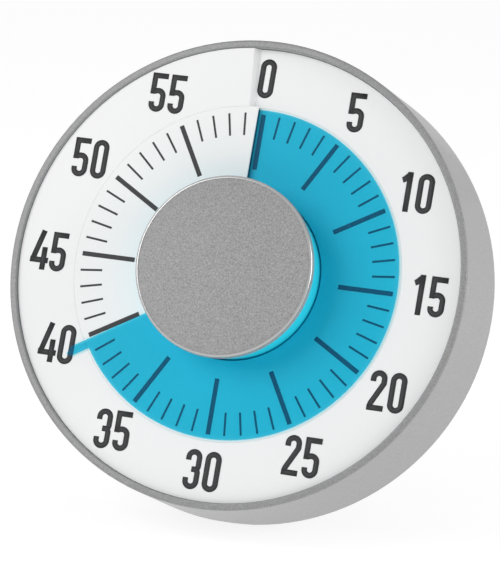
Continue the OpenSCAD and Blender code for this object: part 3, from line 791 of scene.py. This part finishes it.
@dataclass
class Knob:
    """The silver cap over the blue drum: a grained face inside a polished bevel whose lighter colour is a
    painted highlight.
    """

    plane: DialPlane
    paint: Paintshop
    skirt: float = 3.0 * MM
    bevel: float = 0.9 * MM
    wall: float = 1.5 * MM
    spigot_r: float = 27.2 * MM
    spigot_h: float = 1.4 * MM
    groove: float = 0.15 * MM
    ease: float = 0.25 * MM

    def build(self) -> bpy.types.Object:
        """Turns the cap on the lathe and gives its bevel the polished finish whose lighter colour is a
        painted highlight.

        Returns:
            The cap.
        """
        low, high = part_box("knob_cap")
        radius = (high.x - low.x) / 2.0
        face = self.plane.top_of("knob_cap")
        floor = face - self.skirt
        rounding = [
            (radius - self.bevel * (1.0 - math.sin(turn)), face - self.bevel * (1.0 - math.cos(turn)))
            for turn in (math.radians(angle) for angle in range(0, 91, 15))
        ]
        outline = [
            (0.0, face), (radius - self.bevel - 2.0 * self.ease, face),
            (radius - self.bevel - self.ease, face - self.groove), *rounding,
            (radius, floor + self.ease), (radius - self.ease, floor), (self.spigot_r, floor),
            (self.spigot_r, floor - self.spigot_h), (self.spigot_r - self.wall, floor - self.spigot_h),
            (self.spigot_r - self.wall, face - self.wall), (0.0, face - self.wall),
        ]
        cap = lathe("knob_cap_turned", outline, steps=180)
        self.paint.coat(cap, KNOB_SILVER)
        self.paint.coat_part(cap, KNOB_EDGE_POLISH_AND_HIGHLIGHT, lambda facet: self.on_edge(facet, radius, face))
        self.plane.seat(cap)
        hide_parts("knob_cap")
        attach(cap, "knob")
        return cap

    def on_edge(self, facet: bpy.types.MeshPolygon, radius: float, face: float) -> bool:
        """Whether a facet is part of the bevel that carries the painted highlight."""
        out = math.hypot(facet.center.x, facet.center.y)
        return out > radius - self.bevel and facet.center.z > face - self.bevel


@dataclass
class Stand:
    """The fold-out leg and its ribbed rubber foot."""

    paint: Paintshop
    leg_round: float = 0.5 * MM
    ribs: int = 11
    rib_edge: float = 0.35 * MM
    rib_depth: float = 0.3 * MM

    def build(self) -> list[bpy.types.Object]:
        """Rounds the leg's edges and models the foot.

        Returns:
            The leg and the foot.
        """
        leg = soften("stand_leg", self.leg_round)
        self.paint.coat(leg, CASE_SILVER)
        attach(leg, "stand")
        return [leg, self.foot()]

    def foot(self) -> bpy.types.Object:
        """Models the rubber foot: a block with a row of sunk panels on its two long sides.

        Returns:
            The foot.
        """
        low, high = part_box("stand_foot")
        size = high - low
        deselect()
        bpy.ops.mesh.primitive_cube_add(size=1.0, location=(low + high) / 2.0, scale=size)
        bpy.ops.object.transform_apply(location=True, rotation=False, scale=True)
        piece = named("foot_ribbed")
        for i in range(1, self.ribs):
            x = low.x + size.x * i / self.ribs
            bpy.ops.object.mode_set(mode="EDIT")
            bpy.ops.mesh.select_all(action="SELECT")
            bpy.ops.mesh.bisect(plane_co=(x, 0, 0), plane_no=(1, 0, 0))
            bpy.ops.object.mode_set(mode="OBJECT")
        select_faces(piece, lambda face: abs(face.normal.y) > 0.9)
        bpy.ops.mesh.inset(thickness=self.rib_edge, use_individual=True, depth=0.0)
        sunk = {"value": -self.rib_depth}
        bpy.ops.mesh.extrude_region_shrink_fatten(TRANSFORM_OT_shrink_fatten=sunk)
        bpy.ops.object.mode_set(mode="OBJECT")
        bpy.ops.object.shade_smooth_by_angle(angle=math.radians(30))
        self.paint.coat(piece, RUBBER)
        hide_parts("stand_foot")
        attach(piece, "stand")
        return piece


@dataclass
class Nodes:
    """The CAD nodes that keep their shapes: case, dial, film, drum, cover and movement."""

    paint: Paintshop
    nodes: dict[str, bpy.types.Object]
    slots: dict[str, str]

    def build(self) -> int:
        """Gives every node the finish of its slot.

        Returns:
            How many were dressed.
        """
        for name, node in self.nodes.items():
            self.paint.coat(node, NODE_FINISHES[self.slots[name]])
        return len(self.nodes)


@dataclass(frozen=True)
class Lamp:
    """One square soft lamp."""

    name: str
    place: Place
    size: float
    power: float

    def hang(self, target: Vector) -> None:
        """Hangs the lamp, aimed at a target.

        Args:
            target: the point that the lamp faces.
        """
        data = bpy.data.lights.new(self.name, "AREA")
        data.shape = "SQUARE"
        data.size = self.size
        data.energy = self.power
        lamp = bpy.data.objects.new(self.name, data)
        aim = (target - Vector(self.place)).to_track_quat("-Z", "Y")
        lamp.matrix_world = Matrix.Translation(self.place) @ aim.to_matrix().to_4x4()
        bpy.context.scene.collection.objects.link(lamp)


@dataclass
class Studio:
    """Camera, lamps, floor and white surroundings."""

    target: Vector
    fill: float = 0.50
    sky: float = 0.8
    floor_size: float = 8.0
    floor_base: float = 0.35
    floor_glow: float = 0.78
    sensor: float = 36.0
    lens: float = 226.73
    eye: Place = (0.32358, -0.98953, 0.30526)
    right: Place = (0.94541, 0.31990, 0.06215)
    forward: Place = (-0.30124, 0.93063, -0.20783)
    lamps: tuple[Lamp, ...] = (
        Lamp("key", (-0.60, -0.72, 0.62), 0.7, 4.8),
        Lamp("side", (1.0, 0.0, 0.4), 0.6, 4.5),
    )

    def camera(self) -> None:
        """Stands the camera to the right of the dial's axis and a little above its height."""
        data = bpy.data.cameras.new("camera")
        data.sensor_width = self.sensor
        data.sensor_fit = "HORIZONTAL"
        data.lens = self.lens
        eye = bpy.data.objects.new("camera", data)
        right, forward = Vector(self.right), Vector(self.forward)
        turn = Matrix((right, right.cross(forward), -forward)).transposed().to_4x4()
        eye.matrix_world = Matrix.Translation(self.eye) @ turn
        bpy.context.scene.collection.objects.link(eye)
        bpy.context.scene.camera = eye

    def world(self) -> None:
        """Lights the scene evenly, and shows a lighter tone where a ray meets nothing."""
        world = bpy.data.worlds.new("white_room")
        world.use_nodes = True
        bpy.context.scene.world = world
        world.node_tree.nodes.clear()
        graph = Graph(world.node_tree)
        path = graph.add("ShaderNodeLightPath", {}, {})
        seen, mirrored, passed = (
            Value(graph, path.outputs[f"Is {ray} Ray"]) for ray in ("Camera", "Glossy", "Transmission")
        )
        ends = {"Value": seen.greatest(mirrored).greatest(passed), "To Min": self.fill, "To Max": 1.0}
        strength = graph.make("ShaderNodeMapRange", {}, ends)
        tone = (self.sky, self.sky, self.sky, 1.0)
        light = graph.make("ShaderNodeBackground", {}, {"Color": tone, "Strength": strength})
        graph.add("ShaderNodeOutputWorld", {}, {"Surface": light})

    def floor(self) -> None:
        """Lays a white floor that keeps the timer's shadow."""
        deselect()
        bpy.ops.mesh.primitive_plane_add(size=self.floor_size)
        floor = named("floor")
        base, white = (self.floor_base, self.floor_base, self.floor_base, 1.0), (1.0, 1.0, 1.0, 1.0)
        glow = {"emission_color": white, "emission_strength": self.floor_glow}
        shader = Shader("floor_white", base_color=base, roughness=0.9, **glow)
        floor.data.materials.append(shader.material)

    def build(self) -> None:
        """Sets up everything round the timer."""
        self.camera()
        self.floor()
        self.world()
        for lamp in self.lamps:
            lamp.hang(self.target)
        bpy.context.scene.view_settings.view_transform = "Standard"


def main() -> None:
    """Builds the timer's looks in order and reports each piece."""
    logging.basicConfig(level=logging.INFO, format="%(message)s")
    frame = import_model()
    deselect()
    plane = DialPlane.from_frame(frame["joints"])
    paint = Paintshop()
    Studio(plane.origin).build()
    slots = {part["node"]: part["material_slot"] for part in frame["record"]["subparts"]}
    LOG.info("nodes dressed: %d", Nodes(paint, frame["nodes"], slots).build())
    for builder in (Numerals(plane, paint), Ticks(plane, paint), Knob(plane, paint)):
        LOG.info("built %s", builder.build().name)
    for piece in Stand(paint).build():
        LOG.info("built %s", piece.name)
    deselect()
    bpy.context.view_layer.update()


if __name__ == "__main__":
    main()
